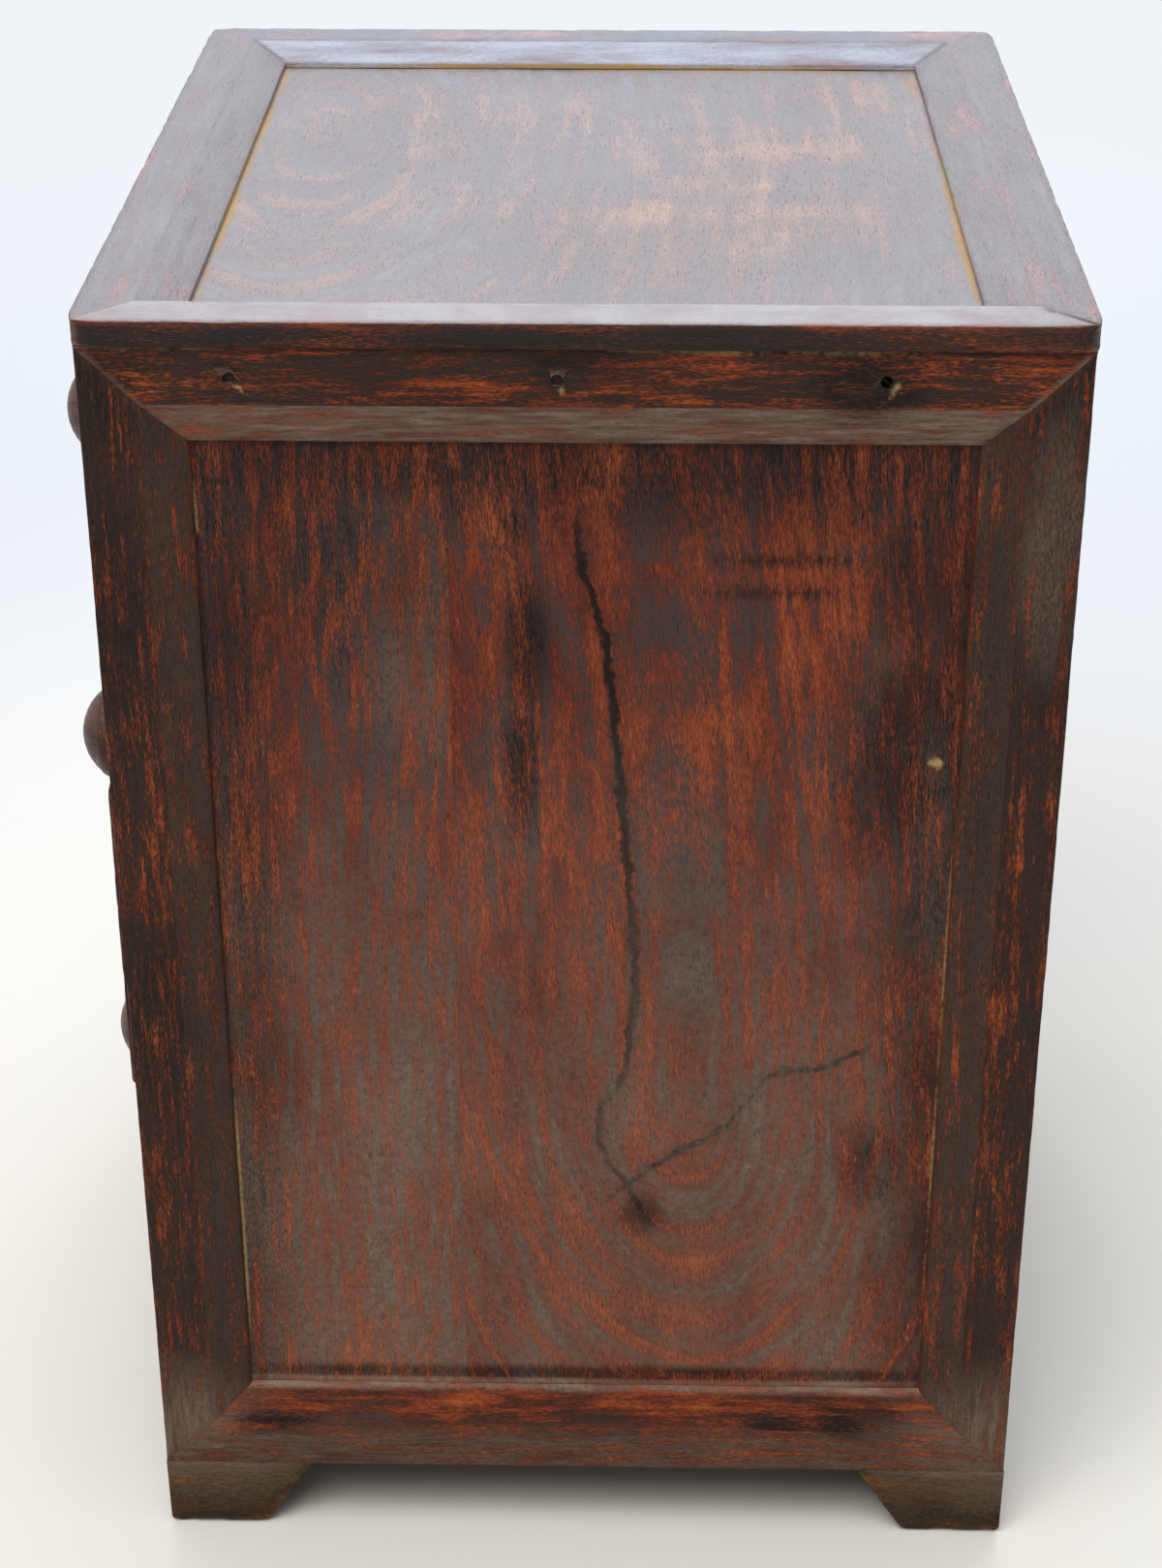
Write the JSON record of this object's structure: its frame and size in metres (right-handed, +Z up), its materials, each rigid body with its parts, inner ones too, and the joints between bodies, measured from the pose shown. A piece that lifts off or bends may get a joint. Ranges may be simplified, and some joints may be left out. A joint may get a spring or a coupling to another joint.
{
  "type": "tabletop chest of drawers",
  "caption": "Small tabletop chest of dark hardwood with framed and panelled sides and top, bracket feet and full-width drawers with turned wooden knobs.",
  "frame": {"origin": "centre of the base of the whole chest, knobs included, on the floor", "axes": "+Z up, the drawers and knobs face -Y, +X to the right as seen from the front"},
  "size_m": [0.2824, 0.2854, 0.382],
  "materials": {
    "frame_wood": "old rosewood, worn wax and lacquer",
    "panel_wood": "old rosewood, worn wax and lacquer",
    "drawer_front_wood": "old rosewood, worn wax and lacquer",
    "back_wood": "rosewood, dry and hardly finished",
    "lining_wood": "bare softer wood, darkened with age",
    "knob_wood": "turned rosewood, polished by hands",
    "nail_iron": "rusted iron"
  },
  "bodies": {
    "carcass": {"back_left_board": "back_wood", "back_nails": "nail_iron", "back_right_board": "back_wood", "bottom_board": "lining_wood", "foot_pegs": "lining_wood", "front_bottom_rail": "frame_wood", "front_top_rail": "frame_wood", "left_back_foot_end_bracket": "frame_wood", "left_back_foot_side_bracket": "frame_wood", "left_back_stile": "frame_wood", "left_bottom_rail": "frame_wood", "left_front_foot_end_bracket": "frame_wood", "left_front_foot_side_bracket": "frame_wood", "left_front_stile": "frame_wood", "left_lower_runner": "lining_wood", "left_panel_back_board": "panel_wood", "left_panel_front_board": "panel_wood", "left_top_rail": "frame_wood", "left_upper_runner": "lining_wood", "lower_divider_rail": "frame_wood", "right_back_foot_end_bracket": "frame_wood", "right_back_foot_side_bracket": "frame_wood", "right_back_stile": "frame_wood", "right_bottom_rail": "frame_wood", "right_front_foot_end_bracket": "frame_wood", "right_front_foot_side_bracket": "frame_wood", "right_front_stile": "frame_wood", "right_lower_runner": "lining_wood", "right_panel_back_board": "panel_wood", "right_panel_front_board": "panel_wood", "right_top_rail": "frame_wood", "right_upper_runner": "lining_wood", "runner_nails": "nail_iron", "top_back_rail": "frame_wood", "top_front_rail": "frame_wood", "top_left_rail": "frame_wood", "top_nails": "nail_iron", "top_panel": "panel_wood", "top_right_rail": "frame_wood", "upper_divider_rail": "frame_wood"},
    "top_drawer": {"top_drawer_back": "lining_wood", "top_drawer_bottom": "lining_wood", "top_drawer_front": "drawer_front_wood", "top_drawer_knob": "knob_wood", "top_drawer_left_side": "lining_wood", "top_drawer_right_side": "lining_wood"},
    "middle_drawer": {"middle_drawer_back": "lining_wood", "middle_drawer_bottom": "lining_wood", "middle_drawer_front": "drawer_front_wood", "middle_drawer_knob": "knob_wood", "middle_drawer_left_side": "lining_wood", "middle_drawer_right_side": "lining_wood"},
    "bottom_drawer": {"bottom_drawer_back": "lining_wood", "bottom_drawer_bottom": "lining_wood", "bottom_drawer_front": "drawer_front_wood", "bottom_drawer_knob": "knob_wood", "bottom_drawer_left_side": "lining_wood", "bottom_drawer_right_side": "lining_wood"}
  },
  "joints": [
    {"name": "top_drawer_slide", "type": "slide", "parent": "carcass", "child": "top_drawer", "axis": [0, -1, 0], "range_m": [0, 0.18]},
    {"name": "middle_drawer_slide", "type": "slide", "parent": "carcass", "child": "middle_drawer", "axis": [0, -1, 0], "range_m": [-0.0038, 0.1762]},
    {"name": "bottom_drawer_slide", "type": "slide", "parent": "carcass", "child": "bottom_drawer", "axis": [0, -1, 0], "range_m": [0, 0.18]}
  ]
}
